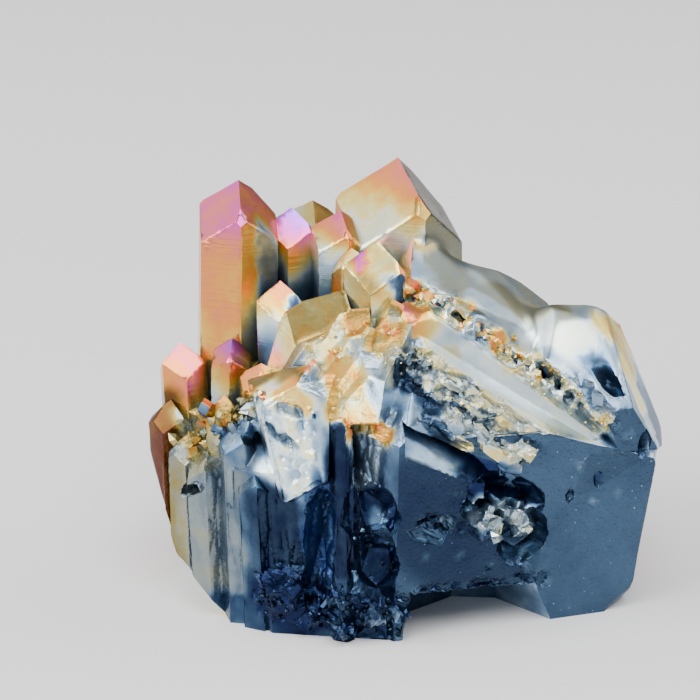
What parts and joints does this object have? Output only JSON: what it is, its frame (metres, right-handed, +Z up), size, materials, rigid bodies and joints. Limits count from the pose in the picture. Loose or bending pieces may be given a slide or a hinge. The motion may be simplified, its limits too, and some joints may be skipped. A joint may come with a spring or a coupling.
{
  "type": "aura quartz cluster",
  "caption": "Small cluster of intergrown six-sided quartz points with an iridescent metal coat, split flat at the front and cut flat below so that it rests upright.",
  "frame": {"origin": "middle of the bounding box's footprint, on the flat cut that the stone rests on", "axes": "+X along the long way of the cluster, to the right of the split front face; -Y out of the split front face; +Z up, along the tall points"},
  "size_m": [0.041, 0.0276, 0.0342],
  "materials": {
    "aura_coat": "metal-vapour coat on quartz: steel blue at the root, silver and cream above, gold, orange, pink and violet at the tips"
  },
  "bodies": {
    "root": {"quartz_cluster": "aura_coat"}
  },
  "joints": []
}
